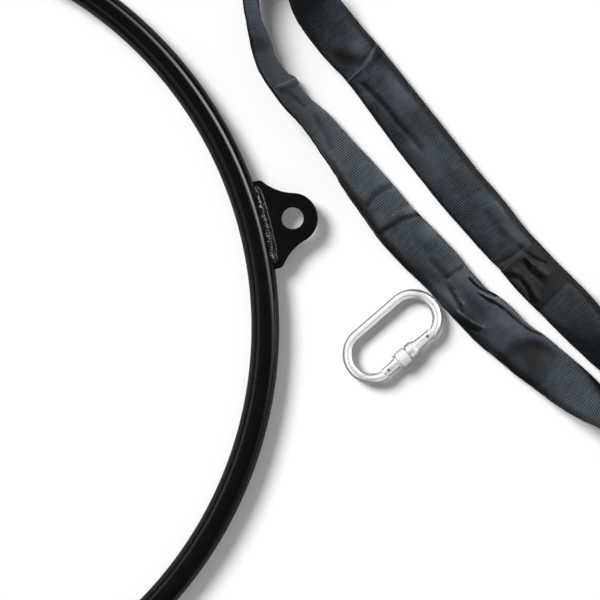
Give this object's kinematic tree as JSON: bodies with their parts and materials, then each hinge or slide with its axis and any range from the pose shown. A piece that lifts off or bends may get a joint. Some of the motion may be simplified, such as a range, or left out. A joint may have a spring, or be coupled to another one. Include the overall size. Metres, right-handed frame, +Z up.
{
  "type": "lyra hoop",
  "caption": "Round steel aerial hoop with a welded hanging tab, laid out with its oval screw-gate carabiner and endless round sling.",
  "frame": {"origin": "middle of the set's footprint, on the floor that it lies on", "axes": "+X to the right of the picture, along the set's longest way; +Y to the picture's top; +Z up from the floor"},
  "size_m": [1.1532, 0.7994, 0.0467],
  "materials": {
    "gloss_black": "gloss black powder coat",
    "bare_steel": "bare mill finish",
    "zinc": "bright zinc plate",
    "zinc_sleeve": "bright zinc plate, knurled",
    "rivet_steel": "turned steel",
    "spring_steel": "drawn spring wire",
    "black_polyester": "ribbed weave with a slight sheen",
    "yarn": "bundled polyester yarn"
  },
  "bodies": {
    "hoop": {"hoop_tube": "gloss_black", "joint_spigot": "bare_steel", "seam_weld": "gloss_black", "hanging_tab": "gloss_black", "tab_weld_front": "gloss_black", "tab_weld_back": "gloss_black"},
    "carabiner": {"carabiner_frame": "zinc"},
    "gate_arm": {"gate": "zinc", "hinge_rivet": "rivet_steel", "latch_rivet": "rivet_steel", "gate_spring": "spring_steel"},
    "plunger": {"spring_plunger": "rivet_steel"},
    "collar": {"sleeve_collar": "zinc_sleeve"},
    "barrel": {"locking_barrel": "zinc_sleeve"},
    "sling": {"sling_sleeve": "black_polyester", "sling_core": "yarn", "sling_cuff": "black_polyester"}
  },
  "joints": [
    {"name": "carabiner_lift", "type": "slide", "parent": "hoop", "child": "carabiner", "axis": [0, 0, 1], "range_m": [0, 0.25]},
    {"name": "sling_lift", "type": "slide", "parent": "hoop", "child": "sling", "axis": [0, 0, 1], "range_m": [0, 0.25]},
    {"name": "gate_hinge", "type": "hinge", "parent": "carabiner", "child": "gate_arm", "pos_m": [0.36595, -0.00868, 0.0086], "axis": [0.0515, -0.0592, -0.9969], "range_deg": [0, 25], "stiffness_Nm_per_rad": 0.25, "springref_deg": -22.92},
    {"name": "plunger_slide", "type": "slide", "parent": "gate_arm", "child": "plunger", "axis": [-0.7547, -0.6561, 0], "range_m": [0, 0.0012], "deforming": ["gate_spring"]},
    {"name": "sleeve_travel", "type": "slide", "parent": "gate_arm", "child": "collar", "axis": [-0.7547, -0.6561, 0], "range_m": [0, 0.01376]},
    {"name": "barrel_turn", "type": "hinge", "parent": "collar", "child": "barrel", "pos_m": [0.34686, -0.02528, 0.0086], "axis": [0.7547, 0.6561, 0], "range_deg": [0, 1980]}
  ],
  "couplings": [
    {"joint": "plunger_slide", "follows": "gate_hinge", "m_per_rad": 0.0022918},
    {"joint": "sleeve_travel", "follows": "barrel_turn", "m_per_rad": 0.00039789}
  ]
}
